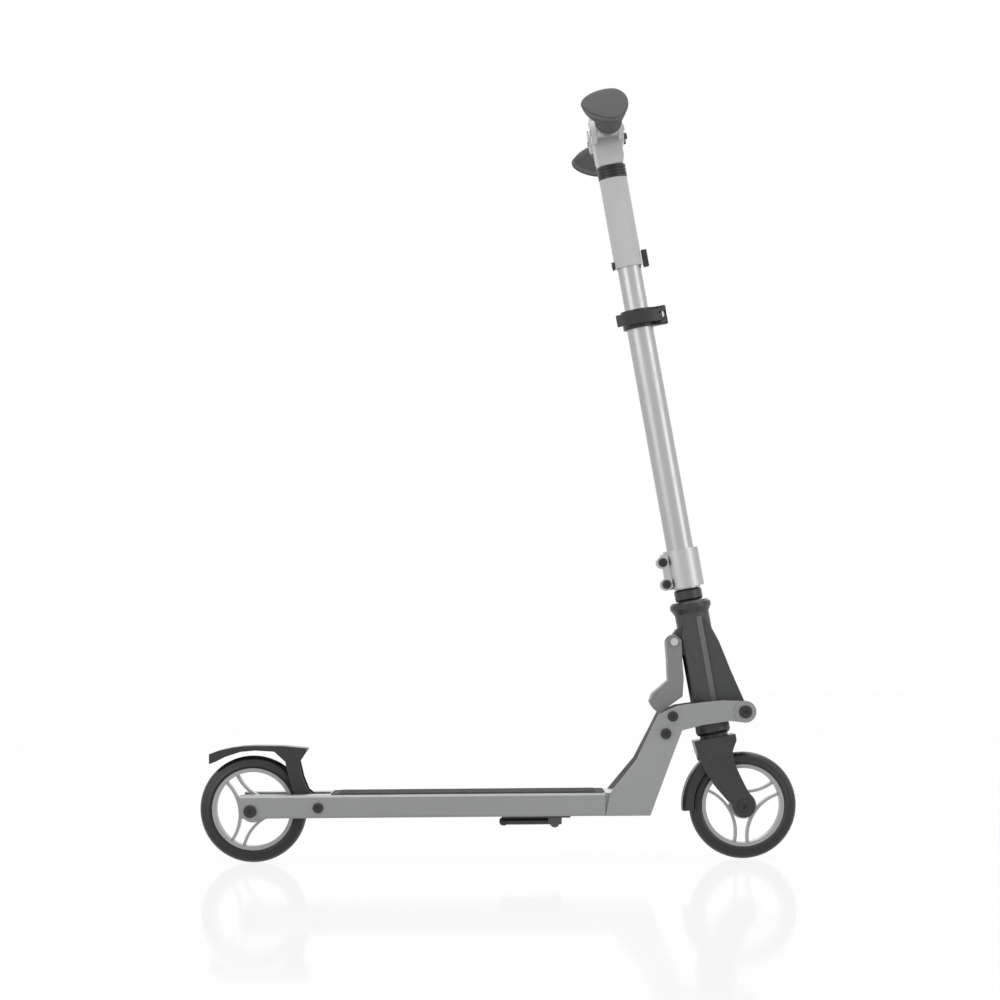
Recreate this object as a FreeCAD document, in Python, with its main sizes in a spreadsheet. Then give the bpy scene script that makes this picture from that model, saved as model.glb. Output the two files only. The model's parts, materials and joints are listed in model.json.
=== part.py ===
import FreeCAD, Part
import math
import os
import Sketcher

# Folding kick scooter. Millimetres, +X forward, +Y left, +Z up, ground at Z = 0.
# "Column" positions are measured square to and along the leaning steering axis,
# from the point on it level with the folding bolt.

Vector = FreeCAD.Vector
Rotation = FreeCAD.Rotation
Placement = FreeCAD.Placement

os.makedirs("parts", exist_ok=True)
doc = FreeCAD.newDocument("scooter")
sheet = doc.addObject("Spreadsheet::Sheet", "Sizes")
row = 0
pieces = []


def cell(alias, value):
    """Write one size in the sheet and give it a name."""
    global row
    row += 1
    sheet.set(f"A{row}", alias)
    sheet.set(f"B{row}", str(value))
    sheet.setAlias(f"B{row}", alias)
    return value


# ---- sizes that several pieces share -------------------------------------
LEAN = cell("lean_angle", 9.8)
AXIS_X = cell("axis_foot_across", 250.0)
AXIS_Z = cell("axis_foot_up", 166.0)
FOLD_X = cell("fold_bolt_offset", 38.7)
WHEEL_R = cell("wheel_radius", 62.5)
AXLE_X = cell("axle_distance", 286.5)
RIM_R = cell("rim_radius", 48.0)
lean = math.radians(LEAN)
FORK_X = cell("fork_offset", (AXLE_X - AXIS_X) * math.cos(lean) + (WHEEL_R - AXIS_Z) * math.sin(lean))
FORK_Z = cell("fork_drop", (AXIS_X - AXLE_X) * math.sin(lean) + (WHEEL_R - AXIS_Z) * math.cos(lean))
BAR_Z = cell("bar_centre", 693.3)
HINGE_Y = cell("handle_hinge", 38.0)
GRIP_END = cell("grip_end", 203.0)
PLATE_Y = cell("plate_inner", 28.0)
PLATE_T = cell("plate_thickness", 5.5)
DECK_LOW = cell("deck_bottom", 54.0)
DECK_TOP = cell("deck_top", 80.5)
DECK_HALF = cell("deck_half_width", 50.0)

COLUMN = Placement(Vector(AXIS_X, 0, AXIS_Z), Rotation(Vector(0, 1, 0), -LEAN))
NO_TURN = Rotation()
TO_LEFT = Rotation(Vector(1, 0, 0), -90)      # local Z points to +Y
TO_RIGHT = Rotation(Vector(1, 0, 0), 90)      # local Z points to -Y
TO_FRONT = Rotation(Vector(0, 1, 0), 90)      # local Z points to +X
TO_REAR = Rotation(Vector(0, 1, 0), -90)      # local Z points to -X


def world(x=0, y=0, z=0, turn=NO_TURN):
    return Placement(Vector(x, y, z), turn)


def column(x=0, y=0, z=0, turn=NO_TURN):
    return COLUMN * Placement(Vector(x, y, z), turn)


def bind(obj, prop, alias, value):
    """Put a size in the sheet and drive the property from it."""
    cell(alias, value)
    obj.setExpression(prop, f"Sizes.{alias}")


# ---- builders ------------------------------------------------------------
def outline(owner, name, points, plane="XZ_Plane"):
    """Closed sketch whose corners are all driven from the sheet."""
    if owner is None:
        sketch = doc.addObject("Sketcher::SketchObject", name + "_sketch")
    else:
        sketch = owner.newObject("Sketcher::SketchObject", name + "_sketch")
        support = [f for f in owner.Origin.OriginFeatures if f.Role == plane][0]
        sketch.AttachmentSupport = [(support, "")]
        sketch.MapMode = "FlatFace"
    corners = [Vector(a, b, 0) for a, b in points]
    count = len(corners)
    for i in range(count):
        sketch.addGeometry(Part.LineSegment(corners[i], corners[(i + 1) % count]), False)
    for i in range(count):
        sketch.addConstraint(Sketcher.Constraint("Coincident", i, 2, (i + 1) % count, 1))
    for i, (a, b) in enumerate(points):
        for kind, word, value in (("DistanceX", "across", a), ("DistanceY", "up", b)):
            alias = f"{name}_{word}_{i + 1}"
            cell(alias, value)
            number = sketch.addConstraint(Sketcher.Constraint(kind, -1, 1, i, 1, value))
            sketch.setExpression(f"Constraints[{number}]", f"Sizes.{alias} * 1 mm")
    return sketch


def plate(name, points, width, spot, plane="XZ_Plane"):
    """Flat piece: an outline padded evenly to both sides."""
    body = doc.addObject("PartDesign::Body", name)
    sketch = outline(body, name, points, plane)
    pad = body.newObject("PartDesign::Pad", name + "_pad")
    pad.Profile = sketch
    pad.SideType = "Symmetric"
    bind(pad, "Length", name + "_width", width)
    body.Placement = spot
    return body


def turned(name, points, spot, angle=360.0):
    """Lathe piece: an outline turned about its own vertical axis."""
    body = doc.addObject("PartDesign::Body", name)
    sketch = outline(body, name, points)
    spin = body.newObject("PartDesign::Revolution", name + "_turn")
    spin.Profile = sketch
    spin.ReferenceAxis = (sketch, ["V_Axis"])
    bind(spin, "Angle", name + "_angle", angle)
    body.Placement = spot
    return body


def tube(name, inner, outer, low, high, spot):
    return turned(name, [(inner, low), (outer, low), (outer, high), (inner, high)], spot)


def rod(name, radius, length, spot):
    obj = doc.addObject("Part::Cylinder", name)
    bind(obj, "Radius", name + "_radius", radius)
    bind(obj, "Height", name + "_length", length)
    obj.Placement = spot
    return obj


def block(name, size, spot):
    obj = doc.addObject("Part::Box", name)
    for prop, word, value in zip(("Length", "Width", "Height"), ("long", "wide", "tall"), size):
        bind(obj, prop, f"{name}_{word}", value)
    obj.Placement = spot
    return obj


def bolt(name, head_r, head_h, shank_r, shank_l, spot):
    """Socket head bolt: the head stands on local Z = 0, the shank hangs below."""
    socket = min(2.6, head_r * 0.45)
    points = [(0, -shank_l), (shank_r, -shank_l), (shank_r, 0), (head_r, 0),
              (head_r, head_h - 0.8), (head_r - 0.8, head_h), (socket, head_h),
              (socket, head_h * 0.45), (0, head_h * 0.45)]
    return turned(name, points, spot)


def cut(name, base, tools):
    tool = tools[0]
    if len(tools) > 1:
        tool = doc.addObject("Part::MultiFuse", name + "_tools")
        tool.Shapes = tools
    obj = doc.addObject("Part::Cut", name)
    obj.Base = base
    obj.Tool = tool
    return obj


def fuse(name, shapes):
    obj = doc.addObject("Part::MultiFuse", name)
    obj.Shapes = shapes
    obj.Refine = True
    return obj


def group(name, shapes):
    obj = doc.addObject("Part::Compound", name)
    obj.Links = shapes
    return obj


def mirrored(name, source):
    obj = doc.addObject("Part::Mirroring", name)
    obj.Source = source
    obj.Normal = Vector(0, 1, 0)
    return obj


def piece(node, obj):
    """Register a finished object under the name its STEP file gets."""
    obj.Label = node
    pieces.append((node, obj))
    return obj


# ---- deck ----------------------------------------------------------------
deck_bar = plate("deck_bar", [(-DECK_HALF, 56.5), (-47.5, DECK_LOW), (47.5, DECK_LOW),
                              (DECK_HALF, 56.5), (DECK_HALF, 78), (47.5, DECK_TOP),
                              (-47.5, DECK_TOP), (-DECK_HALF, 78)],
                 486, world(-56, 0, 0), "YZ_Plane")
nose_turn = Rotation(Vector(0, 1, 0), 20.7)
deck_cuts = [
    block("deck_nose_cut", (60, 120, 60), world(172.2, -60, 44, nose_turn)),
    block("wheel_slot", (104, 44, 40), world(-300, -22, 48)),
    block("deck_chamber_middle", (500, 44, 20.5), world(-300, -22, 57)),
    block("deck_chamber_right", (500, 17, 20.5), world(-300, -42, 57)),
    block("deck_chamber_left", (500, 17, 20.5), world(-300, 25, 57)),
    block("foot_recess_right", (80, 10, 40), world(124, -55, 48)),
    block("foot_recess_left", (80, 10, 40), world(124, 45, 48)),
    rod("rear_axle_hole", 4.0, 120, world(-AXLE_X, -60, WHEEL_R, TO_LEFT)),
    rod("fender_bolt_hole", 3.0, 120, world(-208, -60, 66, TO_LEFT)),
]
piece("deck", cut("deck", deck_bar, deck_cuts))
piece("grip_mat", plate("grip_mat", [(-194, DECK_TOP), (124, DECK_TOP), (121.5, 82), (-194, 82)],
                        88, world()))

# ---- risers: foot beside the deck, leaning in to the fold bolt arm ---------
levels = [("foot", 54.0, 124.0, 176.0, 45.0), ("knee", 80.5, 130.0, 186.0, 45.0),
          ("shin", 118.0, 161.0, 201.0, 36.0), ("top", 152.4, 178.5, 215.0, PLATE_Y)]
sections = []
for word, height, rear, front, inner in levels:
    outer = inner + PLATE_T
    ring = outline(None, "riser_" + word, [(rear, inner), (front, inner), (front, outer), (rear, outer)])
    ring.Placement = world(0, 0, height)
    sections.append(ring)
riser_leg = doc.addObject("Part::Loft", "riser_leg")
riser_leg.Sections = sections
riser_leg.Solid = True
riser_leg.Ruled = True
arm_mid = PLATE_Y + PLATE_T / 2
riser_arm = plate("riser_arm", [(178, 151.5), (215, 151.5), (238, 157.5), (270, 162), (288, 160),
                                (297, 165), (297, 180), (288, 185.2), (262, 186), (238, 184),
                                (209, 180), (188, 171)], PLATE_T, world(0, arm_mid, 0))
riser_boss = rod("riser_boss", 12.7, 7.5, world(288.1, PLATE_Y, 172.6, TO_LEFT))
riser_solid = fuse("riser_solid", [riser_leg, riser_arm, riser_boss])
bolt_spots = [(203.9, 168.1), (195.6, 148.4)]
riser_holes = [rod("fold_hole", 5.0, 30, world(288.1, 15, 172.6, TO_LEFT))]
for i, (x, z) in enumerate(bolt_spots):
    riser_holes.append(rod(f"riser_hole_{i + 1}", 3.0, 30, world(x, 20, z, TO_LEFT)))
riser_left = piece("riser_left", cut("riser_left", riser_solid, riser_holes))
piece("riser_right", mirrored("riser_right", riser_left))

riser_bolts = []
for side, turn in ((1, TO_LEFT), (-1, TO_RIGHT)):
    for i, (x, z) in enumerate(bolt_spots):
        seat = PLATE_Y + PLATE_T + 0.1
        if i == 1:
            seat += 2.4
        name = f"riser_bolt_{i + 1}_{'left' if side > 0 else 'right'}"
        riser_bolts.append(bolt(name, 6.0, 3.5, 3.0, seat - 27.0, world(x, side * seat, z, turn)))
piece("riser_bolts", group("riser_bolts", riser_bolts))
piece("fold_bolt", bolt("fold_bolt", 7.5, 4.0, 5.0, 71.0, world(288.1, -35.5, 172.6, TO_RIGHT)))
piece("fold_nut", tube("fold_nut", 5.0, 8.0, 35.5, 41.0, world(288.1, 0, 172.6, TO_LEFT)))

# ---- wheels --------------------------------------------------------------
ARC_C = 68.5
ARC_R = 52.5


def wheel(word, centre, first_petal):
    """Tyre, three-petal rim and a pair of ball bearings on one axle line."""
    spot = centre * Placement(Vector(), TO_LEFT)
    piece(word + "_tyre", turned(word + "_tyre", [
        (RIM_R, -10.5), (51, -12), (57, -11.6), (60.3, -9.2), (62.0, -5.4), (WHEEL_R, 0),
        (62.0, 5.4), (60.3, 9.2), (57, 11.6), (51, 12), (RIM_R, 10.5)], spot))
    band = tube(word + "_rim_band", 43.6, RIM_R, -10.5, 10.5, spot)
    hub = rod(word + "_hub", 15.4, 24.0, spot * Placement(Vector(0, 0, -12), NO_TURN))
    arms = [band, hub]
    for i in range(3):
        name = f"{word}_arc_{i + 1}"
        angle = math.radians(first_petal + 120 * i)
        middle = Vector(ARC_C * math.cos(angle), -ARC_C * math.sin(angle), 0)
        ring = tube(name, ARC_R - 1.6, ARC_R + 1.6, -7.0, 7.0, spot * Placement(middle, NO_TURN))
        disc = rod(name + "_limit", 45.0, 16.0, spot * Placement(Vector(0, 0, -8), NO_TURN))
        common = doc.addObject("Part::Common", name + "_spoke")
        common.Base = ring
        common.Tool = disc
        arms.append(common)
    solid = fuse(word + "_rim_solid", arms)
    seats = [rod(word + "_bore", 8.0, 40.0, spot * Placement(Vector(0, 0, -20), NO_TURN))]
    for i, low in enumerate((5.0, -14.0)):
        name = f"{word}_seat_{i + 1}"
        seats.append(rod(name, 11.0, 9.0, spot * Placement(Vector(0, 0, low), NO_TURN)))
    piece(word + "_rim", cut(word + "_rim", solid, seats))
    rings = [tube(f"{word}_bearing_{i + 1}", 4.06, 11.0, low, low + 7, spot)
             for i, low in enumerate((5.0, -12.0))]
    piece(word + "_bearings", group(word + "_bearings", rings))


rear_centre = world(-AXLE_X, 0, WHEEL_R)
front_centre = world(AXLE_X, 0, WHEEL_R)
wheel("rear", rear_centre, 65)
wheel("front", front_centre, 87)


def axle(word, centre, inner, outer):
    """Through bolt, its nut, and the spacers that centre the wheel."""
    left = centre * Placement(Vector(0, 0, 0), TO_LEFT)
    right = centre * Placement(Vector(0, -outer, 0), TO_RIGHT)
    piece(word + "_axle_bolt", bolt(word + "_axle_bolt", 7.5, 4.0, 4.0, 2 * outer + 5.5, right))
    piece(word + "_axle_nut", tube(word + "_axle_nut", 4.0, 7.5, outer, outer + 5.0, left))
    rings = [tube(f"{word}_spacer_left", 4.0, 7.0, 12.3, inner, left),
             tube(f"{word}_spacer_right", 4.0, 7.0, -inner, -12.3, left)]
    piece(word + "_axle_spacers", group(word + "_axle_spacers", rings))


axle("rear", rear_centre, 22.0, DECK_HALF)
axle("front", front_centre, 19.0, 25.0)

# ---- fender brake --------------------------------------------------------
fender_top = plate("fender_top", [
    (-337, 127.5), (-326, 131.5), (-312, 134.5), (-298, 136.4), (-283, 137), (-268, 136.8),
    (-250, 136.4), (-222, 133.5), (-223, 130.5), (-236, 127.5), (-250, 128), (-262, 130),
    (-283, 131.4), (-300, 130), (-318, 124.3), (-331, 118), (-337, 116)], 34, world())
fender_cheeks = [plate("fender_cheek_" + word, [
    (-222, 133), (-232, 118), (-228, 100), (-222, 85), (-208, 74), (-201, 66), (-208, 58),
    (-222, 62), (-240, 84), (-244, 100), (-248, 118), (-262, 131)], 3.4, world(0, y, 0))
    for word, y in (("left", 15.2), ("right", -15.2))]
fender_hub = rod("fender_hub", 7.0, 32, world(-208, -16, 66, TO_LEFT))
fender_solid = fuse("fender_solid", [fender_top, fender_hub] + fender_cheeks)
fender_bore = rod("fender_bore", 3.06, 60, world(-208, -30, 66, TO_LEFT))
piece("fender_brake", cut("fender_brake", fender_solid, [fender_bore]))
piece("fender_bolt", bolt("fender_bolt", 6.0, 3.5, 3.0, 104.0, world(-208, -50, 66, TO_RIGHT)))
piece("fender_nut", tube("fender_nut", 3.0, 6.0, 50.0, 54.0, world(-208, 0, 66, TO_LEFT)))

# ---- kickstand: the hinge leans so the leg swings down and outward ---------
STAND_TILT = cell("stand_tilt", 37.9)
stand_axis = Vector(0, -math.cos(math.radians(STAND_TILT)), math.sin(math.radians(STAND_TILT)))
stand_turn = Rotation(Vector(-1, 0, 0), stand_axis.cross(Vector(-1, 0, 0)), stand_axis, "ZXY")
STAND = Placement(Vector(66, -14, 46.3), stand_turn)


def stand(x=0, y=0, z=0, turn=NO_TURN):
    return STAND * Placement(Vector(x, y, z), turn)


stand_leg = fuse("stand_leg_solid", [
    rod("stand_hub", 6.0, 9.0, stand(0, 0, -4.5)),
    rod("stand_rod", 4.0, 57.0, stand(0, 0, 0, TO_FRONT))])
piece("kickstand_leg", cut("kickstand_leg", stand_leg, [
    rod("stand_bore", 3.06, 20, stand(0, 0, -10))]))
piece("kickstand_foot", turned("kickstand_foot", [
    (0, 57), (5.0, 57), (5.0, 61), (3.5, 64), (0, 65)], stand(0, 0, 0, TO_FRONT)))
stand_wedge = doc.addObject("Part::Common", "stand_wedge")
stand_wedge.Base = block("stand_wedge_block", (16, 16, 20), stand(-8, -8, 4.8))
stand_wedge.Tool = block("stand_wedge_limit", (40, 60, 24), world(46, -50, 30))
stand_base = block("stand_base", (80, 18, 2.5), world(4, -37, DECK_LOW - 2.5))
stand_bracket = fuse("stand_bracket_solid", [stand_wedge, stand_base])
piece("kickstand_bracket", cut("kickstand_bracket", stand_bracket, [
    rod("stand_pin_hole", 3.0, 30, stand(0, 0, 0))]))
piece("kickstand_pin", turned("kickstand_pin", [
    (0, -6.5), (5.0, -6.5), (5.0, -4.8), (3.0, -4.8), (3.0, 8.0), (0, 8.0)], stand()))

# ---- neck ----------------------------------------------------------------
head_barrel = rod("head_barrel", 20.0, 136.0, column(0, 0, -12))
fairing = plate("fairing", [
    (-11, 116), (11, 116), (17.5, 106), (24, 87), (28.5, 66), (31.7, 50), (36.5, 30), (41, 12),
    (44, -10), (30, -9), (10, -5), (-12, -5), (-17.3, 18), (-17.3, 100)], 36, column())
fold_boss = rod("fold_boss", 12.5, 55.4, column(FOLD_X, -27.7, 0, TO_LEFT))
latch_lug = plate("latch_lug", [(-10, 112), (-22, 108), (-31, 99), (-31, 90), (-20, 78), (-10, 70)],
                  27, column())
neck_solid = fuse("neck_solid", [head_barrel, fairing, fold_boss, latch_lug])
piece("neck_housing", cut("neck_housing", neck_solid, [
    rod("head_bore", 15.2, 160, column(0, 0, -20)),
    rod("fold_bore", 5.06, 80, column(FOLD_X, -40, 0, TO_LEFT)),
    rod("latch_bore", 3.0, 60, column(-27.3, -30, 94.4, TO_LEFT))]))
piece("upper_headset_cup", turned("upper_headset_cup", [
    (13.1, 124), (20.5, 124), (22, 127), (24, 130), (24, 135), (21, 138), (13.1, 138)], column()))
piece("lower_headset_cup", turned("lower_headset_cup", [
    (13.1, -20), (18.5, -20), (20.2, -17), (20.2, -12), (13.1, -12)], column()))
piece("headset_bearings", group("headset_bearings", [
    tube("upper_race", 12.76, 15.2, 112, 123, column()),
    tube("lower_race", 12.76, 15.2, -11, 0, column())]))
piece("latch_pin", turned("latch_pin", [
    (0, -21.5), (4.5, -21.5), (4.5, -19.3), (3.0, -19.3), (3.0, 19.3), (4.5, 19.3), (4.5, 21.5),
    (0, 21.5)], column(-27.3, 0, 94.4, TO_LEFT)))

# ---- latch lever: a channel with a toe to press ----------------------------
cheek_points = [(-25, 103), (-18.6, 95), (-22, 70), (-24, 50), (-29, 30), (-50, 20), (-59, 14.4),
                (-65, 22.6), (-68, 30), (-63, 39), (-42, 51.6), (-38.7, 75), (-36.5, 97), (-31, 102)]
cheeks = [plate("cheek_" + word, cheek_points, 5.0, column(0, y, 0))
          for word, y in (("left", 16.6), ("right", -16.6))]
lever_back = plate("lever_back", [
    (-36.5, 97), (-38.7, 75), (-42, 51.6), (-63, 39), (-68, 30), (-65, 22.6), (-59, 14.4),
    (-52, 20), (-38, 44), (-35.5, 75), (-33, 97)], 29, column())
lever_solid = fuse("lever_solid", cheeks + [lever_back])
piece("latch_lever", cut("latch_lever", lever_solid, [
    rod("lever_bore", 3.06, 60, column(-27.3, -30, 94.4, TO_LEFT))]))

# ---- fork and what turns with it -------------------------------------------
steerer = rod("steerer", 12.7, 220, column(0, 0, -24))
race = rod("crown_race", 16.5, 3.7, column(0, 0, -24.0))
crown = plate("crown", [(-25.5, -24), (23.5, -24), (23.5, -31), (18, -40.5), (-24, -40.5)], 50,
              column())
leg_points = [(-25.5, -24), (23.5, -24), (23.5, -31), (16.8, -43), (17, -59.4), (21, -75),
              (25.6, -90.6), (31.5, -103), (28, -118), (8, -116), (5.3, -105), (-6, -86),
              (-18.8, -62), (-23.5, -42)]
legs = [plate("leg_" + word, leg_points, 6.0, column(0, y, 0))
        for word, y in (("left", 22), ("right", -22))]
ends = [rod("leg_end_" + word, 13.5, 6.0, column(FORK_X, y, FORK_Z, TO_LEFT))
        for word, y in (("left", 19), ("right", -25))]
fork_solid = fuse("fork_solid", [steerer, race, crown] + legs + ends)
piece("fork", cut("fork", fork_solid, [
    rod("steerer_bore", 10.5, 240, column(0, 0, -30)),
    rod("front_axle_hole", 4.0, 80, column(FORK_X, -40, FORK_Z, TO_LEFT))]))
guard_turn = TO_LEFT * Rotation(Vector(0, 0, 1), -175)
guard_shell = turned("guard_shell", [
    (71, -14), (71, 14), (67, 17), (58, 17), (58, 15.2), (66.5, 15.2), (69, 13), (69, -13),
    (66.5, -15.2), (58, -15.2), (58, -17), (67, -17)], column(FORK_X, 0, FORK_Z, guard_turn), 55)
guard_tab = block("guard_tab", (10, 18, 7), column(-24, -9, -47.5))
piece("front_mudguard", fuse("front_mudguard", [guard_shell, guard_tab]))
piece("headset_locknut", turned("headset_locknut", [
    (12.7, 138.4), (15, 138.4), (16.2, 141), (16.2, 150), (14.8, 152.5), (12.7, 152.5)], column()))

clamp_ring = rod("clamp_ring", 20.5, 45, column(0, 0, 154.6))
clamp_web = block("clamp_web", (13, 24, 40), column(-24, -12, 157))
lobes = [rod(f"clamp_lobe_{i + 1}", 7.2, 24, column(-23.4, -12, z, TO_LEFT))
         for i, z in enumerate((161.8, 187.8))]
clamp_solid = fuse("clamp_solid", [clamp_ring, clamp_web] + lobes)
clamp_cuts = [rod("clamp_bore", 15.7, 60, column(0, 0, 150)),
              block("clamp_slit", (20, 2, 60), column(-32, -1, 150))]
clamp_bolts = []
for i, z in enumerate((161.8, 187.8)):
    clamp_cuts.append(rod(f"clamp_hole_{i + 1}", 3.0, 60, column(-23.4, -30, z, TO_LEFT)))
    clamp_bolts.append(bolt(f"clamp_bolt_{i + 1}", 5.2, 4.0, 3.0, 26.0,
                            column(-23.4, -12, z, TO_RIGHT)))
piece("column_clamp", cut("column_clamp", clamp_solid, clamp_cuts))
piece("column_clamp_bolts", group("column_clamp_bolts", clamp_bolts))
piece("steerer_shim", tube("steerer_shim", 12.7, 14.3, 154.6, 196, column()))
outer_solid = turned("outer_solid", [
    (14.3, 153), (15.7, 153), (15.7, 200), (15.75, 200), (15.75, 462.5), (15.7, 462.5),
    (15.7, 485), (14.3, 485)], column())
piece("outer_tube", cut("outer_tube", outer_solid, [
    block("outer_slit", (6, 2.4, 60), column(12, -1.2, 440))]))

# ---- quick release ---------------------------------------------------------
QR_X = cell("release_pin_forward", 27.5)
QR_Y = cell("release_pin_side", -13.0)
collar_solid = fuse("collar_solid", [rod("collar_ring", 19.5, 21.5, column(0, 0, 463)),
                                     block("collar_ears", (19, 14, 21.5), column(14, -7, 463))])
piece("release_collar", cut("release_collar", collar_solid, [
    rod("collar_bore", 15.7, 40, column(0, 0, 455)),
    block("collar_slit", (25, 2, 40), column(10, -1, 455)),
    rod("collar_hole", 2.5, 40, column(QR_X, -20, 473.5, TO_LEFT))]))
piece("release_bolt", fuse("release_bolt", [
    rod("release_shank", 2.5, 24, column(QR_X, QR_Y, 473.5, TO_LEFT)),
    rod("release_cross_pin", 2.0, 17.4, column(QR_X, QR_Y, 464.8))]))
piece("release_nut", tube("release_nut", 2.5, 5.0, 7.0, 11.0, column(QR_X, 0, 473.5, TO_LEFT)))
lever_arm = plate("release_arm", [
    (27, -18.4), (18, -23), (4, -27), (-12, -27.5), (-21, -26), (-27, -22), (-26.5, -19),
    (-19, -21.6), (4, -22.6), (14, -20), (21, -16), (24, -12)], 13.5, column(0, 0, 473.5), "XY_Plane")
lever_knuckle = rod("release_knuckle", 5.4, 17.0, column(QR_X, QR_Y, 465))
release_solid = fuse("release_solid", [lever_arm, lever_knuckle])
piece("release_lever", cut("release_lever", release_solid, [
    rod("release_bore", 2.06, 30, column(QR_X, QR_Y, 460)),
    block("release_gap", (16, 16, 7), column(21, -20, 470))]))

# ---- sliding upper column ----------------------------------------------------
piece("inner_tube", tube("inner_tube", 12.2, 14.0, 262, 676, column()))
sleeve_solid = tube("sleeve_solid", 14.0, 16.5, 536, 641, column())
piece("upper_sleeve", cut("upper_sleeve", sleeve_solid, [
    block("sleeve_window", (8, 10.4, 30), column(12, -5.2, 525)),
    rod("sleeve_hole", 2.5, 10, column(-12, 0, 540, TO_REAR))]))
piece("height_button", block("height_button", (6.7, 9.6, 20), column(16.8, -4.8, 533)))
piece("sleeve_bolt", bolt("sleeve_bolt", 5.0, 2.8, 2.5, 2.6, column(-16.8, 0, 540, TO_REAR)))
piece("collar_band", turned("collar_band", [
    (14.0, 641), (16.8, 641), (17.2, 643), (17.2, 654), (16.8, 656), (14.0, 656)], column()))

# ---- T-head ------------------------------------------------------------------
head_block = plate("head_block", [(-14, 656), (14, 656), (16, 664), (16, 676), (19.5, 679),
                                  (19.5, 700), (16, 712), (11, 720.5), (-11, 720.5), (-16, 714),
                                  (-16, 664)], 48, column())
ears = []
for side, y in (("left", 1), ("right", -1)):
    for end, x in (("front", 12.6), ("rear", -18.6)):
        name = f"ear_{side}_{end}"
        low_y = 20 if y > 0 else -HINGE_Y
        ears.append(block(name, (6, 18, 25), column(x, low_y, BAR_Z - 12.5)))
        ears.append(rod(name + "_round", 12.5, 6, column(x, y * HINGE_Y, BAR_Z, TO_FRONT)))
head_solid = fuse("head_solid", [head_block] + ears)
head_cuts = [rod("head_tube_seat", 14.0, 30, column(0, 0, 646)),
             rod("pin_hole_left", 3.0, 80, column(-40, HINGE_Y, BAR_Z, TO_FRONT)),
             rod("pin_hole_right", 3.0, 80, column(-40, -HINGE_Y, BAR_Z, TO_FRONT))]
for side, y in (("left", 17), ("right", -17)):
    head_cuts.append(rod("button_seat_" + side, 4.3, 20, column(10.5, y, 685.4, TO_FRONT)))
piece("t_head", cut("t_head", head_solid, head_cuts))
for side, y in (("left", 17), ("right", -17)):
    name = "handle_button_" + side
    piece(name, turned(name, [(0, 0), (4, 0), (4, 8.6), (3.2, 9.6), (0, 9.9)],
                       column(14, y, 685.4, TO_FRONT)))
pins = [turned("hinge_pin_" + side, [(0, -20.6), (5, -20.6), (5, -18.7), (3, -18.7), (3, 18.7),
                                     (5, 18.7), (5, 20.6), (0, 20.6)],
               column(0, y * HINGE_Y, BAR_Z, TO_FRONT)) for side, y in (("left", 1), ("right", -1))]
piece("handle_hinge_pins", group("handle_hinge_pins", pins))

# ---- folding handles -----------------------------------------------------------
bar = column(0, 0, BAR_Z).Base


def oval(name, y, long_r, short_r, shift):
    obj = doc.addObject("Part::Ellipse", name)
    bind(obj, "MajorRadius", name + "_major", long_r)
    bind(obj, "MinorRadius", name + "_minor", short_r)
    obj.Placement = world(bar.x + shift, y, bar.z, TO_LEFT)
    return obj


def loft(name, ovals):
    obj = doc.addObject("Part::Loft", name)
    obj.Sections = ovals
    obj.Solid = True
    return obj


bar_turn = TO_LEFT * Rotation(Vector(0, 0, 1), 55)
handle_solid = fuse("handle_solid", [
    rod("handle_knuckle", 11.0, 24.4, column(-12.2, HINGE_Y, BAR_Z, TO_FRONT)),
    rod("handle_root", 9.0, 14, world(bar.x, HINGE_Y, bar.z, bar_turn)),
    rod("handle_bar", 10.0, 40, world(bar.x, 50, bar.z, bar_turn)),
    rod("handle_tail", 9.2, GRIP_END - 90, world(bar.x, 90, bar.z, bar_turn))])
handle_left = piece("handle_tube_left", cut("handle_tube_left", handle_solid, [
    rod("knuckle_bore", 3.06, 60, column(-30, HINGE_Y, BAR_Z, TO_FRONT)),
    rod("handle_hollow", 7.6, 160, world(bar.x, 56, bar.z, bar_turn))]))
collar_left = piece("grip_collar_left", turned("grip_collar_left", [
    (9.2, 90), (14.2, 90), (15.6, 92), (15.6, 97), (9.2, 97)], world(bar.x, 0, bar.z, TO_LEFT)))
grip_body = loft("grip_body", [oval("grip_inner", 97, 14.6, 14.2, -0.4),
                               oval("grip_middle", 128, 17.5, 14.6, -3),
                               oval("grip_palm", 165, 23.5, 15.4, -6.5),
                               oval("grip_outer", GRIP_END, 25.5, 16.0, -8)])
grip_left = piece("grip_left", cut("grip_left", grip_body, [
    rod("grip_bore", 9.2, 120, world(bar.x, 90, bar.z, TO_LEFT))]))
cap_left = piece("grip_cap_left", loft("grip_cap_left", [
    oval("cap_inner", GRIP_END, 25.5, 16.0, -8), oval("cap_outer", GRIP_END + 2, 24.3, 14.8, -8)]))
for node, source in (("handle_tube_right", handle_left), ("grip_collar_right", collar_left),
                     ("grip_right", grip_left), ("grip_cap_right", cap_left)):
    piece(node, mirrored(node, source))

# ---- check and export ------------------------------------------------------
doc.recompute()
for obj in doc.Objects:
    if "Invalid" in obj.State or "Error" in obj.State:
        raise RuntimeError(f"{obj.Name} did not build: {obj.State}")
for node, obj in pieces:
    shape = obj.Shape
    if shape.isNull() or not shape.isValid() or not shape.Solids:
        raise RuntimeError(f"{node} is not a valid solid")
    shape.exportStep(os.path.join("parts", node + ".step"))
    box = shape.BoundBox
    print(f"{node:22s} {len(shape.Solids)} solid(s)  X {box.XMin:7.1f} {box.XMax:7.1f}"
          f"  Y {box.YMin:7.1f} {box.YMax:7.1f}  Z {box.ZMin:7.1f} {box.ZMax:7.1f}")
print(len(pieces), "pieces")
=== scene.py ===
# %% [markdown]
# # A folding kick scooter
# The metal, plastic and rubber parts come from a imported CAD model. Every part already sits at
# its true place, in metres, so nothing here is moved to fit. Blender adds what a CAD model
# leaves out: rounded edges, moulded grips, a ribbed mat, tyres, and finishes made with nodes.

# %% Load the model
import json
import math

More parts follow.
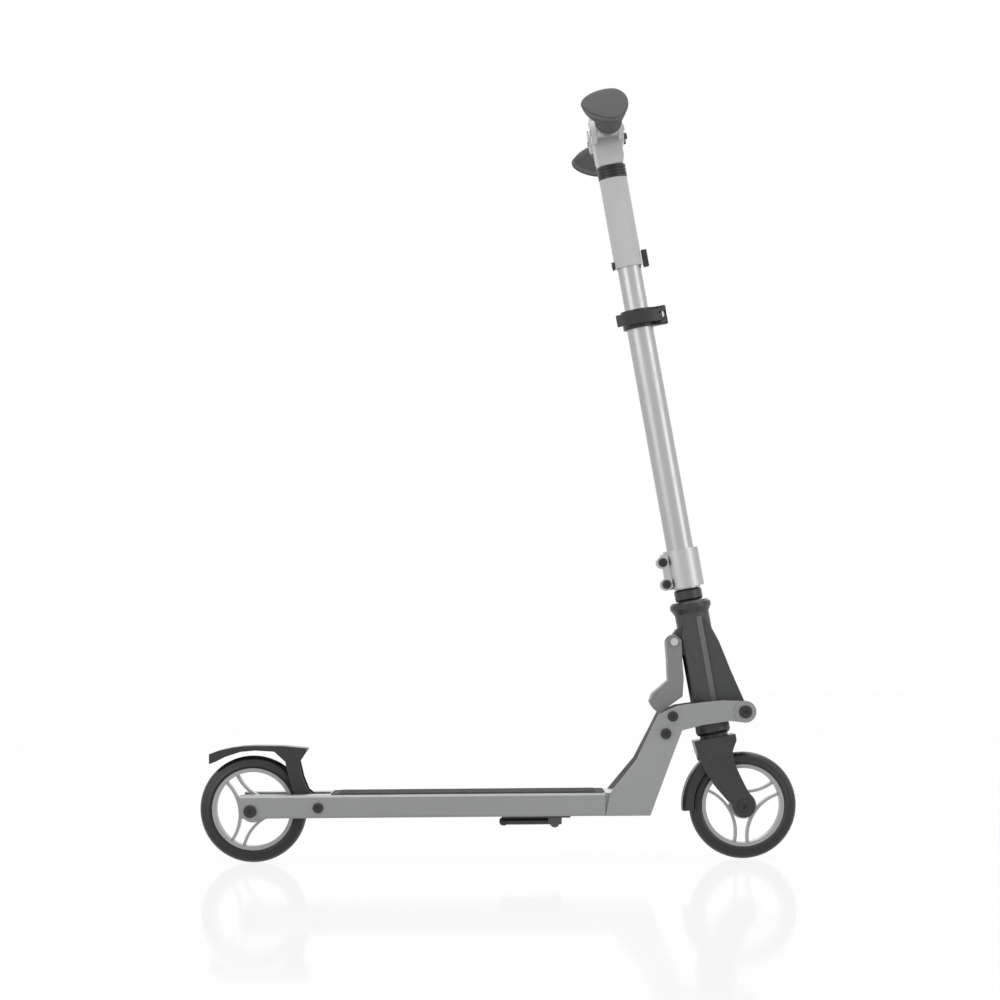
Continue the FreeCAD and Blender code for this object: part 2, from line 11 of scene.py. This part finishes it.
import bmesh
import bpy
from mathutils import Matrix, Vector


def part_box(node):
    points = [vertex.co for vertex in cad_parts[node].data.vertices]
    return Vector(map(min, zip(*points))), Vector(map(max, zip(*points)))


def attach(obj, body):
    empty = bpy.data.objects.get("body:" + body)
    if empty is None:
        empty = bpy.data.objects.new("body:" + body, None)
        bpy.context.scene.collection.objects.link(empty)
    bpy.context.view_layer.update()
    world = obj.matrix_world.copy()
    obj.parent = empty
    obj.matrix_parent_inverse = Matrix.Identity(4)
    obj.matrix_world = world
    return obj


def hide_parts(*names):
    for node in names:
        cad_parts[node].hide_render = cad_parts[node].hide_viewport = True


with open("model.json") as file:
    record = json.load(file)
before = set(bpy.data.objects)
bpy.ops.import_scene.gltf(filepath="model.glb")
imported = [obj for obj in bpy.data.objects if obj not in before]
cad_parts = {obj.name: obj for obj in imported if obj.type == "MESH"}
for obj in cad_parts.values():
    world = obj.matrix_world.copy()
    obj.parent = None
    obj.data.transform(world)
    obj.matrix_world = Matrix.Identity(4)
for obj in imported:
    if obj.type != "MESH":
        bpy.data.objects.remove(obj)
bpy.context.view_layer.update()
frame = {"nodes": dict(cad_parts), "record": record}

nodes = frame["nodes"]
MM = 0.001

# %% [markdown]
# The column leans back. Its lean and the foot of its axis are written down once, here. Pieces
# on the column are built upright around their own axis and then leaned with one matrix.

# %% Find the leaning column
LEAN = math.radians(9.8)
COLUMN_FOOT = (0.250, 0, 0.166)
BAR_HEIGHT = 0.6933
LEANED = Matrix.Translation(COLUMN_FOOT) @ Matrix.Rotation(-LEAN, 4, "Y")
BAR = LEANED @ Vector((0, 0, BAR_HEIGHT))
print("handlebar centre", [round(v, 4) for v in BAR])

# %% [markdown]
# A camera far away with a long lens keeps the near and far grips nearly the same size, as in
# a catalogue picture. The lens is shifted up instead of tilting the camera, so that the
# column's upright lines don't converge. A slight roll follows the level of the ground.

# %% Camera
DISTANCE = 3.3
WIDTH_SHOWN = 1.173
LENS_RISE = 0.126
EYE_HEIGHT = 0.2745
SIDE_STEP = 0.004
ROLL = math.radians(-0.47)
camera_data = bpy.data.cameras.new("camera")
camera_data.sensor_width = 36
camera_data.lens = camera_data.sensor_width * DISTANCE / WIDTH_SHOWN
camera_data.shift_y = LENS_RISE
camera = bpy.data.objects.new("camera", camera_data)
bpy.context.scene.collection.objects.link(camera)
camera.matrix_world = (Matrix.Translation((SIDE_STEP, -DISTANCE, EYE_HEIGHT))
                       @ Matrix.Rotation(math.radians(90), 4, "X")
                       @ Matrix.Rotation(ROLL, 4, "Z"))
bpy.context.scene.camera = camera
bpy.context.scene.view_settings.view_transform = "Standard"
print("lens", round(camera_data.lens, 1), "mm")

# %% [markdown]
# Node materials are easier to read as sums. This small class wraps a socket so that
# `a * 0.5 + b` adds the Math nodes by itself, and `1 - mask` works as well.

# %% A socket that can be calculated with


class Number:
    def __init__(self, tree, socket):
        self.tree = tree
        self.socket = socket

    def combine(self, operation, first, second):
        node = self.tree.nodes.new("ShaderNodeMath")
        node.operation = operation
        for slot, value in zip(node.inputs, (first, second)):
            if isinstance(value, Number):
                self.tree.links.new(value.socket, slot)
            else:
                slot.default_value = value
        return Number(self.tree, node.outputs[0])

    def __add__(self, other):
        return self.combine("ADD", self, other)

    def __radd__(self, other):
        return self.combine("ADD", other, self)

    def __sub__(self, other):
        return self.combine("SUBTRACT", self, other)

    def __rsub__(self, other):
        return self.combine("SUBTRACT", other, self)

    def __mul__(self, other):
        return self.combine("MULTIPLY", self, other)

    def __rmul__(self, other):
        return self.combine("MULTIPLY", other, self)


# %% [markdown]
# A finish is a Principled shader plus the nodes that vary it. One method adds any node, one
# reads a noise pattern in the part's own coordinates, and one joins everything up. Stretching
# the coordinates along one direction turns round specks into brushed or drawn lines.

# %% The finish class


class Finish:
    def __init__(self, name, **constants):
        self.material = bpy.data.materials.new(name)
        self.material.use_nodes = True
        self.tree = self.material.node_tree
        self.shader = self.tree.nodes["Principled BSDF"]
        for socket, value in constants.items():
            self.shader.inputs[socket.replace("_", " ")].default_value = value

    def node(self, kind, settings=None, values=None):
        made = self.tree.nodes.new(kind)
        for name, value in (settings or {}).items():
            setattr(made, name, value)
        for name, value in (values or {}).items():
            if isinstance(value, Number):
                self.tree.links.new(value.socket, made.inputs[name])
            else:
                made.inputs[name].default_value = value
        return made

    def output(self, made, name):
        return Number(self.tree, made.outputs[name])

    def place(self, stretch=(1, 1, 1), turn=(0, 0, 0)):
        where = self.output(self.node("ShaderNodeTexCoord"), "Object")
        return self.output(self.node("ShaderNodeMapping", None, {
            "Vector": where, "Rotation": turn, "Scale": stretch}), "Vector")

    def noise(self, scale, detail=3.0, stretch=(1, 1, 1), turn=(0, 0, 0)):
        made = self.node("ShaderNodeTexNoise", None, {
            "Vector": self.place(stretch, turn), "Scale": scale, "Detail": detail})
        return self.output(made, "Fac")

    def cells(self, scale):
        made = self.node("ShaderNodeTexVoronoi", None, {"Vector": self.place(), "Scale": scale})
        return self.output(made, "Distance")

    def between(self, low, high, value):
        """0 below low and 1 above high, smooth between."""
        made = self.node("ShaderNodeMapRange", {"interpolation_type": "SMOOTHSTEP"}, {
            "Value": value, "From Min": low, "From Max": high})
        return self.output(made, "Result")

    def mix(self, factor, first, second):
        """Blend two colours. A Mix node's colour sockets are inputs 6 and 7 and output 2."""
        made = self.node("ShaderNodeMix", {"data_type": "RGBA"})
        for slot, value in ((0, factor), (6, first), (7, second)):
            if isinstance(value, Number):
                self.tree.links.new(value.socket, made.inputs[slot])
            else:
                made.inputs[slot].default_value = value
        return Number(self.tree, made.outputs[2])

    def feed(self, socket, value):
        self.tree.links.new(value.socket, self.shader.inputs[socket])

    def bump(self, height, strength, distance):
        made = self.node("ShaderNodeBump", None, {
            "Height": height, "Strength": strength, "Distance": distance})
        self.feed("Normal", self.output(made, "Normal"))


def grey(level, tint=0.0):
    """A neutral colour, cooler where tint is above 0."""
    return (level * (1 - tint), level, level * (1 + tint), 1.0)


# %% [markdown]
# Most parts need the same four things at different strengths: a broad drift of shade, a fine
# grain, patches that are a little more worn or dusty, and a faint relief. One recipe takes
# those strengths, so the finishes below read as a table of the scooter's materials.

# %% The shared recipe


def surface(name, shade, rough, metal=0.0, tint=0.01, drift=0.08, grain=700.0, relief=0.15,
            relief_depth=0.0001, stretch=(1, 1, 1), turn=(0, 0, 0), worn=0.12, coat=0.0, gloss=0.5):
    made = Finish(name, Metallic=metal, Coat_Weight=coat, Specular_IOR_Level=gloss)
    broad = made.noise(9.0, detail=4.0)
    fine = made.noise(grain, 2.0, stretch, turn)
    patches = made.between(0.52, 0.72, made.noise(34.0, detail=6.0))
    shaded = broad * 0.6 + fine * 0.4
    light = grey(shade * (1 + drift * 2), tint)
    dark = grey(shade * (1 - drift * 2), tint)
    base = made.mix(shaded, dark, light)
    dusted = made.mix(patches * worn * 0.6, base, grey(shade * 0.7 + 0.09, 0.0))
    made.feed("Base Color", dusted)
    made.feed("Roughness", patches * worn + fine * 0.1 + (rough - 0.05))
    made.bump(fine, relief, relief_depth)
    return made


UPRIGHT = (0, LEAN, 0)
finishes = {
    "polished_aluminium": surface("drawn_aluminium", 0.43, 0.33, 1.0, 0.006, 0.05, 420.0, 0.05,
                                  0.00004, (1, 1, 0.02), UPRIGHT, 0.08),
    "clamp_silver": surface("satin_silver", 0.46, 0.40, 1.0, 0.006, 0.05, 1500.0, 0.12, 0.00005),
    "frame_grey": surface("metallic_grey_paint", 0.285, 0.40, 0.55, 0.012, 0.05, 2600.0, 0.12,
                          0.00004, worn=0.10, coat=0.15),
    "matte_sleeve": surface("matte_grey_plastic", 0.50, 0.55, 0.0, 0.0, 0.03, 1800.0, 0.18,
                            0.00005, worn=0.08),
    "charcoal": surface("charcoal_plastic", 0.040, 0.46, 0.0, 0.03, 0.10, 1700.0, 0.30, 0.00006),
    "lever_grey": surface("mid_grey_plastic", 0.20, 0.44, 0.0, 0.01, 0.06, 1700.0, 0.25, 0.00005),
    "black_plastic": surface("black_plastic", 0.016, 0.40, 0.0, 0.02, 0.12, 1500.0, 0.28, 0.00006),
    "black_metal": surface("black_powder_coat", 0.014, 0.36, 0.0, 0.02, 0.12, 2200.0, 0.35,
                           0.00006, gloss=0.6),
    "black_bolt": surface("black_oxide_bolts", 0.022, 0.32, 0.35, 0.02, 0.14, 1300.0, 0.20,
                          0.00005, gloss=0.6),
    "steel": surface("zinc_plated_steel", 0.50, 0.27, 1.0, 0.01, 0.08, 900.0, 0.12, 0.00005),
    "rim_grey": surface("cast_rim_grey", 0.34, 0.36, 0.7, 0.01, 0.06, 1900.0, 0.18, 0.00005),
    # The grip caps' own light grey; the same finish also paints the highlight strips on the neck.
    "grip_light": surface("light_grip_rubber_and_painted_highlight", 0.118, 0.60, 0.0, 0.01, 0.06, 2100.0, 0.35, 0.00008),
}
print(len(finishes), "plain finishes")

# %% [markdown]
# Three surfaces need a pattern of their own. The grip rubber has small raised dots from its
# mould. The deck mat is covered in coarse grit, like sandpaper. The tyre's plastic carries a
# faint mould texture, and its tread is paler where it has rolled along the ground.

# %% Grip rubber, mat and tyre


def dotted_rubber():
    made = Finish("grip_rubber", Specular_IOR_Level=0.35)
    dots = 1 - made.between(0.18, 0.42, made.cells(420.0))
    dust = made.noise(22.0, 5.0)
    made.feed("Base Color", made.mix(dots * 0.5 + dust * 0.4, grey(0.050, 0.02), grey(0.105, 0.01)))
    made.feed("Roughness", dust * 0.16 + 0.54 - dots * 0.08)
    made.bump(dots, 0.7, 0.0003)
    return made


def grit_mat():
    made = Finish("grit_mat", Specular_IOR_Level=0.3)
    grit = made.noise(1900.0, 5.0)
    coarse = made.cells(900.0)
    scuffs = made.between(0.55, 0.75, made.noise(16.0, 6.0))
    made.feed("Base Color", made.mix(scuffs * 0.5 + grit * 0.4, grey(0.026), grey(0.085)))
    made.feed("Roughness", grit * 0.2 + 0.68)
    made.bump(grit + coarse, 0.85, 0.0004)
    return made


def tyre_plastic():
    made = Finish("tyre_plastic", Specular_IOR_Level=0.45)
    where = made.node("ShaderNodeSeparateXYZ", None, {
        "Vector": made.output(made.node("ShaderNodeTexCoord"), "Object")})
    side = made.output(where, "Y")
    sideways = side.combine("ABSOLUTE", side, 0.0)
    rolled = 1 - made.between(0.003, 0.008, sideways)
    dust = made.noise(60.0, 6.0)
    fine = made.noise(1400.0, 3.0)
    made.feed("Base Color", made.mix(rolled * dust * 0.8 + fine * 0.15, grey(0.010), grey(0.060)))
    made.feed("Roughness", rolled * 0.22 + dust * 0.12 + 0.30)
    made.bump(fine + dust * 0.3, 0.35, 0.0001)
    return made


finishes["grip_grey"] = dotted_rubber()
finishes["mat_black"] = grit_mat()
finishes["tyre_black"] = tyre_plastic()
slot_of = {entry["node"]: entry["material_slot"] for entry in frame["record"]["subparts"]}
for name, part in nodes.items():
    part.data.materials.clear()
    part.data.materials.append(finishes[slot_of[name]].material)
print("every carried-over part has a node finish")

# %% [markdown]
# Every new piece ends the same way: its doubles are merged, its faces turned outward, and it
# is shaded smooth except at sharp edges. It then rides on the body of the part it replaces,
# so that it moves with the joints. The other helpers move, mirror, bevel and spin a shape.

# %% Finishing helpers
body_of = {part: body for body, parts in frame["record"]["behaviour"]["bodies"].items()
           for part in parts}


def finish_piece(form, name, body, slot, replaced=(), sharp=38.0, tidy=True):
    if tidy:
        bmesh.ops.remove_doubles(form, verts=form.verts, dist=1e-6)
        bmesh.ops.recalc_face_normals(form, faces=form.faces)
    mesh = bpy.data.meshes.new(name)
    form.to_mesh(mesh)
    form.free()
    mesh.shade_smooth()
    mesh.set_sharp_from_angle(angle=math.radians(sharp))
    mesh.materials.append(finishes[slot].material)
    made = bpy.data.objects.new(name, mesh)
    bpy.context.scene.collection.objects.link(made)
    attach(made, body)
    if replaced:
        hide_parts(*replaced)
    return made


def move(form, matrix):
    bmesh.ops.transform(form, matrix=matrix, verts=form.verts)


def mirror_right(form, side):
    """A piece is modelled for the left side; the right one is its mirror image."""
    if side == "right":
        move(form, Matrix.Scale(-1, 4, (0, 1, 0)))


def round_edges(form, edges, width, segments=2, clamp=True):
    bmesh.ops.bevel(form, geom=edges, offset=width, offset_type="OFFSET", affect="EDGES",
                    segments=segments, profile=0.5, material=-1, clamp_overlap=clamp)


def spin_outline(places, axis, steps):
    """Turn a closed outline of points once about an axis through the origin."""
    form = bmesh.new()
    corners = [form.verts.new(place) for place in places]
    edges = [form.edges.new((corners[i], corners[(i + 1) % len(corners)]))
             for i in range(len(corners))]
    bmesh.ops.spin(form, geom=corners + edges, cent=(0, 0, 0), axis=axis,
                   angle=math.tau, steps=steps, use_merge=True)
    return form


# %% [markdown]
# No real edge is perfectly sharp. A moulded cover has a radius of a millimetre or two, and a
# machined bracket has a broken edge that catches the light. A copy of the CAD mesh is merged
# into whole faces, and its sharp edges get a narrow bevel. The CAD part itself isn't touched.

# %% Round the edges of the bigger parts


SAME_FACE = math.radians(0.6)
SHARP_EDGE = math.radians(32.0)


def soften(node, width):
    form = bmesh.new()
    form.from_mesh(nodes[node].data)
    bmesh.ops.remove_doubles(form, verts=form.verts, dist=2e-6)
    bmesh.ops.dissolve_limit(form, angle_limit=SAME_FACE, verts=form.verts,
                             edges=form.edges)
    edges = [e for e in form.edges if len(e.link_faces) == 2
             and e.calc_face_angle(0.0) > SHARP_EDGE]
    round_edges(form, edges, width)
    made = finish_piece(form, node + "_rounded", body_of[node], slot_of[node], (node,), tidy=False)
    made.modifiers.new("even shading", "WEIGHTED_NORMAL").keep_sharp = True
    return len(edges)


rounded = {
    "deck": 0.6, "riser_left": 0.7, "riser_right": 0.7, "fork": 1.0, "neck_housing": 2.2,
    "t_head": 1.6, "column_clamp": 0.6, "release_collar": 0.6, "release_lever": 0.9,
    "latch_lever": 1.0, "fender_brake": 0.9, "front_rim": 0.5, "rear_rim": 0.5,
    "kickstand_bracket": 0.4, "height_button": 0.8, "upper_sleeve": 0.4,
    "front_mudguard": 0.4, "kickstand_leg": 0.5,
}
for name, width in rounded.items():
    print(name, soften(name, width * MM), "edges rounded")

# %% [markdown]
# A tyre is one outline turned about the axle. The outline is a flattened arc, a little ridge
# on each sidewall and the seat on the rim. Spin with use_merge closes the ring.

# %% Tyres


def tyre(word):
    low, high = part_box(word + "_tyre")
    centre = (low + high) / 2
    radius = (high.x - low.x) / 2
    half = (high.y - low.y) / 2
    seat = 0.048
    seat_half = 0.0105
    crown = 0.0088
    arc_end = 78
    steps = 18
    ridge = [(half - 0.0002, seat + 0.0024), (half, seat + 0.0030), (half - 0.0005, seat + 0.0036)]
    outline = [(-seat_half, seat)] + [(-y, r) for y, r in ridge]
    for i in range(steps + 1):
        angle = math.radians(-arc_end + 2 * arc_end * i / steps)
        across = (half - 0.0004) * math.copysign(abs(math.sin(angle)) ** 0.9, angle)
        outline.append((across, radius - crown * (1 - math.cos(angle) ** 0.85)))
    outline += ridge[::-1] + [(seat_half, seat)]
    form = spin_outline([(r, y, 0) for y, r in outline], (0, 1, 0), 120)
    move(form, Matrix.Translation(centre))
    return finish_piece(form, word + "_tyre_moulded", word + "_wheel", "tyre_black",
                        (word + "_tyre",), sharp=50.0)


for word in ("rear", "front"):
    print(tyre(word).name, "made")

# %% [markdown]
# A grip is a rubber sleeve, round where the fingers close and widened at its outer end into a
# rest for the palm that points backward. It is extruded ring by ring from a circle. Each ring
# is scaled, and its rear half is pulled out. Alternate rings are a touch larger, which
# gives the moulded ribs.

# %% Grips
GRIP_STATIONS = [(97.0, 14.4, 14.8, 14.2), (104.0, 14.3, 14.8, 13.9), (114.0, 14.5, 16.0, 13.9),
                 (128.0, 15.0, 19.0, 14.2), (145.0, 15.8, 24.0, 14.8), (165.0, 16.8, 29.5, 15.3),
                 (185.0, 17.3, 32.8, 15.8), (198.0, 17.5, 33.4, 16.0), (203.0, 17.2, 33.0, 15.7)]
RING_POINTS = 56
FIRST_RIB = 104.0
LAST_RIB = 176.0
RIB_PITCH = 4.6
RIB_RISE = 0.55
AT_BAR = Matrix.Translation((BAR.x, 0, BAR.z))


def grip_size(along):
    """Front, rear and half height of the grip, in millimetres, at a distance from the middle."""
    for (a, *first), (b, *second) in zip(GRIP_STATIONS, GRIP_STATIONS[1:]):
        if along <= b:
            part = (along - a) / (b - a)
            part = part * part * (3 - 2 * part)
            return [p + (q - p) * part for p, q in zip(first, second)]
    return list(GRIP_STATIONS[-1][1:])


def shape_ring(ring, along, grow):
    """Turn a unit circle of points, lying across Y, into the grip's outline."""
    front, rear, tall = [v + grow for v in grip_size(along)]
    for vert in ring:
        x, z = vert.co.x, vert.co.z
        reach = rear * abs(x) ** 1.12 if x < 0 else front * x
        height = tall * z * (1 - 0.10 * max(0.0, -x) ** 2)
        vert.co = Vector((-reach if x < 0 else reach, along, height)) * MM


def unit_ring(form):
    made = bmesh.ops.create_circle(form, segments=RING_POINTS, radius=1.0)
    bmesh.ops.rotate(form, verts=made["verts"], cent=(0, 0, 0),
                     matrix=Matrix.Rotation(math.radians(90), 3, "X"))
    return made["verts"]


def grip(side):
    form = bmesh.new()
    stops = [(97.0, -0.6), (97.8, 0.0), (101.0, 0.0)]
    rib = FIRST_RIB
    while rib < LAST_RIB:
        stops += [(rib, 0.0), (rib + 0.7, RIB_RISE), (rib + 2.3, RIB_RISE), (rib + 3.0, 0.0)]
        rib += RIB_PITCH
    stops += [(180.0, 0.0), (188.0, 0.0), (194.5, 0.0), (195.2, 0.9), (202.0, 0.9), (203.0, 0.3)]
    unit = unit_ring(form)
    circle = [v.co.copy() for v in unit]
    ring_edges = list(form.edges)
    last = list(unit)
    rings = []
    for number, (along, grow) in enumerate(stops):
        if number:
            grown = bmesh.ops.extrude_edge_only(form, edges=ring_edges)["geom"]
            ring_edges = [g for g in grown if isinstance(g, bmesh.types.BMEdge)
                          and all(v in grown for v in g.verts)]
            last = [g for g in grown if isinstance(g, bmesh.types.BMVert)]
        rings.append((last, along, grow))
    for ring, along, grow in rings:
        for vert, unit_place in zip(ring, circle):
            vert.co = unit_place
        shape_ring(ring, along, grow)
    bmesh.ops.holes_fill(form, edges=[e for e in form.edges if e.is_boundary], sides=0)
    mirror_right(form, side)
    move(form, AT_BAR)
    return finish_piece(form, f"grip_{side}_moulded", f"{side}_handle", "grip_grey",
                        (f"grip_{side}",), sharp=60.0)


for side in ("left", "right"):
    print(grip(side).name, "made")

# %% [markdown]
# A lighter cap closes the outer end of each grip. It follows the same outline: a disc that is
# extruded a little, then inset and lifted three times, so that it ends in a low smooth dome.

# %% Grip end caps


CAP_START = 202.6
CAP_WALL = 1.4


def grip_cap(side):
    form = bmesh.new()
    ring = unit_ring(form)
    face = form.faces.new(ring)
    shape_ring(ring, CAP_START, 0.2)
    grown = bmesh.ops.extrude_face_region(form, geom=[face])["geom"]
    top = [g for g in grown if isinstance(g, bmesh.types.BMFace)][0]
    bmesh.ops.translate(form, verts=top.verts, vec=(0, CAP_WALL * MM, 0))
    for inward, rise in ((0.5, 0.35), (0.9, 0.3), (1.4, 0.2)):
        bmesh.ops.inset_region(form, faces=[top], thickness=inward * MM, depth=0.0)
        bmesh.ops.translate(form, verts=top.verts, vec=(0, rise * MM, 0))
    mirror_right(form, side)
    move(form, AT_BAR)
    return finish_piece(form, f"grip_cap_{side}_moulded", f"{side}_handle", "grip_light",
                        (f"grip_cap_{side}",))


for side in ("left", "right"):
    print(grip_cap(side).name, "made")

# %% [markdown]
# The mat is a thin rubber sheet glued to the deck. Its corners are rounded and low ribs run
# along it for grip. The sheet and ribs are boxes whose edges are bevelled, in one mesh.

# %% Deck mat


def add_bar(form, low, high, soft):
    """A box between two corners with all its edges rounded."""
    size = high - low
    made = bmesh.ops.create_cube(form, size=1.0)["verts"]
    bmesh.ops.scale(form, verts=made, vec=size)
    bmesh.ops.translate(form, verts=made, vec=(low + high) / 2)
    round_edges(form, list({e for v in made for e in v.link_edges}), soft)


MAT_RIBS = 11
RIB_SPACING = 7.2 * MM
RIB_HALF = 2.2 * MM
CORNER = 7 * MM
low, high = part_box("grip_mat")
sheet_top = high.z - 0.7 * MM
form = bmesh.new()
corners = bmesh.ops.create_cube(form, size=1.0)["verts"]
bmesh.ops.scale(form, verts=corners, vec=(high.x - low.x, high.y - low.y, sheet_top - low.z))
bmesh.ops.translate(form, verts=corners, vec=((low.x + high.x) / 2, 0, (low.z + sheet_top) / 2))
uprights = [e for e in form.edges if abs(e.verts[0].co.z - e.verts[1].co.z) > 1e-4]
round_edges(form, uprights, CORNER, segments=6, clamp=False)
for i in range(MAT_RIBS):
    y = (i - (MAT_RIBS - 1) / 2) * RIB_SPACING
    add_bar(form, Vector((low.x + 9 * MM, y - RIB_HALF, sheet_top - 0.3 * MM)),
            Vector((high.x - 11 * MM, y + RIB_HALF, high.z)), 0.5 * MM)
mat = finish_piece(form, "grip_mat_ribbed", "deck_frame", "mat_black", ("grip_mat",))
print(mat.name, len(mat.data.polygons), "faces")

# %% [markdown]
# Small mouldings make the joints of the column read as real parts. The black band under the
# T-head has grooves turned into it, so it is spun from a notched outline. It is built
# upright and then leaned with the column.

# %% Column band
band = [(14.0, 641.0), (16.6, 641.0), (17.1, 641.6)]
GROOVE_PITCH = 3.6
for i in range(3):
    start = 643.4 + GROOVE_PITCH * i
    band += [(17.1, start), (16.4, start + 0.5), (16.4, start + 1.3), (17.1, start + 1.8)]
band += [(17.1, 655.4), (16.6, 656.0), (14.0, 656.0)]
form = spin_outline([(r * MM, 0, h * MM) for r, h in band], (0, 0, 1), 72)
move(form, LEANED)
print(finish_piece(form, "collar_band_grooved", "upper_column", "black_plastic",
                   ("collar_band",)).name, "made")

# %% [markdown]
# The neck cover is moulded in two halves. On each side a slim strip in the light grey of the
# grip caps is a painted highlight: it paints the light that shines along the rounded neck. A thin
# panel lies behind it. The panel's front edge is an S-curve, so it starts as one face, is extruded
# to its thickness and gets a rounded edge. Small ribs on the lever's toe keep the shoe from
# slipping off.

# %% Painted highlight strips, neck panels and toe pad
# This strip is not a part of the scooter: its light grey paints the highlight on the rounded neck.
NECK_HIGHLIGHT_STRIP = (Vector((2.8, 17.4, 16)) * MM, Vector((9.2, 20.6, 119)) * MM)
PANEL = [(-16.6, 96), (-15.0, 86), (-12.4, 76), (-7.6, 64), (-3.6, 54), (-1.0, 42),
         (0.2, 30), (0.4, 19), (-16.6, 19)]
PANEL_INSIDE = 17.6
PANEL_THICK = 1.6
for side in ("left", "right"):
    form = bmesh.new()
    add_bar(form, *NECK_HIGHLIGHT_STRIP, 0.8 * MM)
    mirror_right(form, side)
    move(form, LEANED)
    print(finish_piece(form, f"neck_painted_highlight_strip_{side}", "neck", "grip_light").name, "made")
    form = bmesh.new()
    face = form.faces.new([form.verts.new(Vector((x, PANEL_INSIDE, z)) * MM) for x, z in PANEL])
    grown = bmesh.ops.extrude_face_region(form, geom=[face])["geom"]
    bmesh.ops.translate(form, vec=(0, PANEL_THICK * MM, 0),
                        verts=[g for g in grown if isinstance(g, bmesh.types.BMVert)])
    rims = [e for e in form.edges if all(v.co.y > 19 * MM for v in e.verts)]
    round_edges(form, rims, 0.6 * MM)
    mirror_right(form, side)
    move(form, LEANED)
    print(finish_piece(form, f"neck_panel_{side}", "neck", "charcoal").name, "made")

TOE_RIB_HALF = Vector((0.8, 14, 1.2)) * MM
form = bmesh.new()
for i in range(4):
    base = Vector((-66.6 + 4.2 * i, 0, 32.2 + 2.2 * i)) * MM
    add_bar(form, base - TOE_RIB_HALF, base + TOE_RIB_HALF, 0.5 * MM)
move(form, LEANED)
print(finish_piece(form, "latch_toe_ribs", "latch_lever", "lever_grey").name, "made")

# %% [markdown]
# A flat pale floor, a large soft lamp overhead, one lamp at each side and one behind light the
# scooter as in a small studio. The floor looks white to the camera through Is Camera Ray, yet
# it keeps a faint shadow and a trace of reflection.

# %% Floor and light


def lamp(name, place, target, size, power):
    data = bpy.data.lights.new(name, "AREA")
    data.shape = "RECTANGLE"
    data.size, data.size_y = size
    data.energy = power
    made = bpy.data.objects.new(name, data)
    bpy.context.scene.collection.objects.link(made)
    made.location = place
    made.rotation_euler = (Vector(target) - Vector(place)).to_track_quat("-Z", "Y").to_euler()


lamp("top_lamp", (0.1, -0.3, 2.6), (0, 0, 0.4), (3.0, 2.6), 36)
lamp("left_lamp", (-2.2, -2.0, 1.5), (0, 0, 0.4), (2.0, 2.4), 26)
lamp("right_lamp", (2.3, -1.4, 1.2), (0.1, 0, 0.4), (1.2, 2.4), 14)
lamp("back_lamp", (0.4, 2.4, 1.6), (0, 0, 0.5), (2.0, 1.6), 20)

FLOOR_GLOW = 0.86
FLOOR_HALF = 8.0
AMBIENT = 0.45
floor_finish = Finish("white_floor", Roughness=0.06, Specular_IOR_Level=0.6)
drift = floor_finish.noise(3.0, 2.0)
floor_finish.feed("Base Color", floor_finish.mix(drift, grey(0.86), grey(0.90)))
paths = floor_finish.node("ShaderNodeLightPath")
seen = floor_finish.output(paths, "Is Camera Ray") + floor_finish.output(paths, "Is Glossy Ray")
glow = floor_finish.node("ShaderNodeEmission", None, {"Color": (1, 1, 1, 1), "Strength": 1.0})
blend = floor_finish.node("ShaderNodeMixShader", None, {"Fac": seen * FLOOR_GLOW})
tree = floor_finish.tree
tree.links.new(floor_finish.shader.outputs[0], blend.inputs[1])
tree.links.new(glow.outputs[0], blend.inputs[2])
tree.links.new(blend.outputs[0], tree.nodes["Material Output"].inputs["Surface"])
form = bmesh.new()
bmesh.ops.create_grid(form, x_segments=1, y_segments=1, size=FLOOR_HALF)
floor_mesh = bpy.data.meshes.new("floor")
form.to_mesh(floor_mesh)
form.free()
floor_mesh.materials.append(floor_finish.material)
floor = bpy.data.objects.new("floor", floor_mesh)
bpy.context.scene.collection.objects.link(floor)

world = bpy.data.worlds.new("studio")
bpy.context.scene.world = world
world.use_nodes = True
air = world.node_tree
paths = air.nodes.new("ShaderNodeLightPath")
either = Number(air, paths.outputs["Is Camera Ray"]) + Number(air, paths.outputs["Is Glossy Ray"])
strength = either * (1 - AMBIENT) + AMBIENT
background = air.nodes["Background"]
background.inputs["Color"].default_value = (1, 1, 1, 1)
air.links.new(strength.socket, background.inputs["Strength"])
print("stage and lamps ready")
